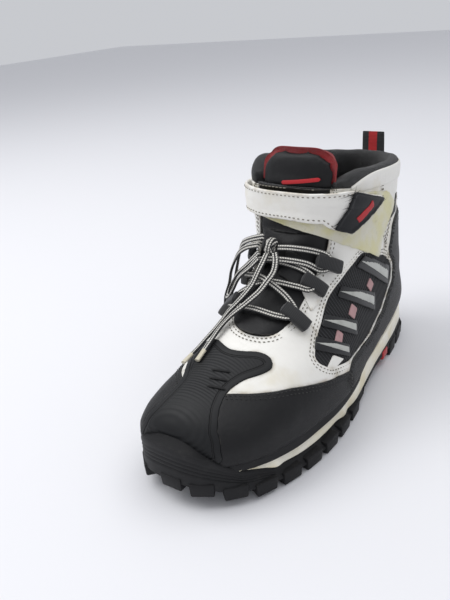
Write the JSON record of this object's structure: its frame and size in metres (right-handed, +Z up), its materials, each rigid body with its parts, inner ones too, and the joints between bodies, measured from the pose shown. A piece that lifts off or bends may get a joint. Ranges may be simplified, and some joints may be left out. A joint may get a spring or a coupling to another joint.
{
  "type": "laced riding boot",
  "caption": "Ankle-high laced riding boot in white and black leather with ribbed toe cap, ankle strap, padded collar and lugged sole, left foot.",
  "frame": {"origin": "on the ground under the middle of the boot, its laces left out", "axes": "+Z up, toe toward -Y, heel toward +Y, outer side of the foot toward +X"},
  "size_m": [0.1154, 0.3048, 0.1958],
  "materials": {
    "tread_rubber": "matte",
    "cream_rubber": "satin",
    "red_plastic": "satin",
    "lining_fabric": "matte",
    "stiff_board": "matte",
    "footbed_foam": "matte",
    "ribbed_black": "satin",
    "black_leather": "satin",
    "white_leather": "satin",
    "mesh_fabric": "matte",
    "bar_plastic": "satin",
    "grey_rubber": "satin",
    "red_fabric": "matte",
    "black_webbing": "matte",
    "loop_tape_fabric": "matte",
    "hook_tape_fabric": "matte",
    "badge_rubber": "satin",
    "black_cord": "matte",
    "lace_fabric": "matte",
    "tip_plastic": "gloss"
  },
  "bodies": {
    "boot": {"outsole": "tread_rubber", "midsole": "cream_rubber", "shank_plate": "red_plastic", "lining": "lining_fabric", "toe_puff": "stiff_board", "insole_board": "stiff_board", "heel_stiffener": "stiff_board", "footbed": "footbed_foam", "toe_cap": "ribbed_black", "mudguard_lateral": "black_leather", "mudguard_medial": "black_leather", "vamp": "white_leather", "quarter_lateral": "white_leather", "window_mesh_lateral": "mesh_fabric", "quarter_medial": "white_leather", "window_mesh_medial": "mesh_fabric", "window_bar_lateral_1": "bar_plastic", "window_bar_lateral_2": "bar_plastic", "window_bar_lateral_3": "bar_plastic", "window_bar_lateral_4": "bar_plastic", "window_bar_medial_1": "bar_plastic", "window_bar_medial_2": "bar_plastic", "window_bar_medial_3": "bar_plastic", "window_bar_medial_4": "bar_plastic", "heel_panel": "black_leather", "ankle_panel": "white_leather", "heel_guard": "grey_rubber", "tongue": "black_leather", "lace_keeper": "black_webbing", "loop_tape": "loop_tape_fabric", "strap_anchor": "white_leather", "collar_roll": "mesh_fabric", "lace": "lace_fabric", "lace_loop_lateral_1": "black_cord", "lace_loop_lateral_2": "black_cord", "lace_loop_lateral_3": "black_cord", "lace_loop_medial_1": "black_cord", "lace_loop_medial_2": "black_cord", "lace_loop_medial_3": "black_cord", "bow_knot": "lace_fabric", "bow_loop_medial": "lace_fabric", "bow_loop_front": "lace_fabric", "lace_end_a": "lace_fabric", "lace_end_b": "lace_fabric", "lace_tip_a": "tip_plastic", "lace_tip_b": "tip_plastic"},
    "strap": {"strap": "white_leather", "hook_patch": "hook_tape_fabric", "strap_badge": "badge_rubber"},
    "tongue_top": {"tongue_top": "black_leather", "tongue_lining": "red_fabric"},
    "pull_loop": {"pull_loop": "black_webbing"}
  },
  "joints": [
    {"name": "strap_open", "type": "hinge", "parent": "boot", "child": "strap", "pos_m": [-0.0524, 0.0281, 0.155], "axis": [0, 0, -1], "range_deg": [0, 100]},
    {"name": "tongue_tilt", "type": "hinge", "parent": "boot", "child": "tongue_top", "pos_m": [-0.001, 0.0076, 0.1722], "axis": [1, 0, 0], "range_deg": [-6, 25]},
    {"name": "pull_loop_flex", "type": "hinge", "parent": "boot", "child": "pull_loop", "pos_m": [-0.002, 0.1496, 0.1462], "axis": [-1, 0, 0], "range_deg": [0, 40], "stiffness_Nm_per_rad": 0.02}
  ]
}
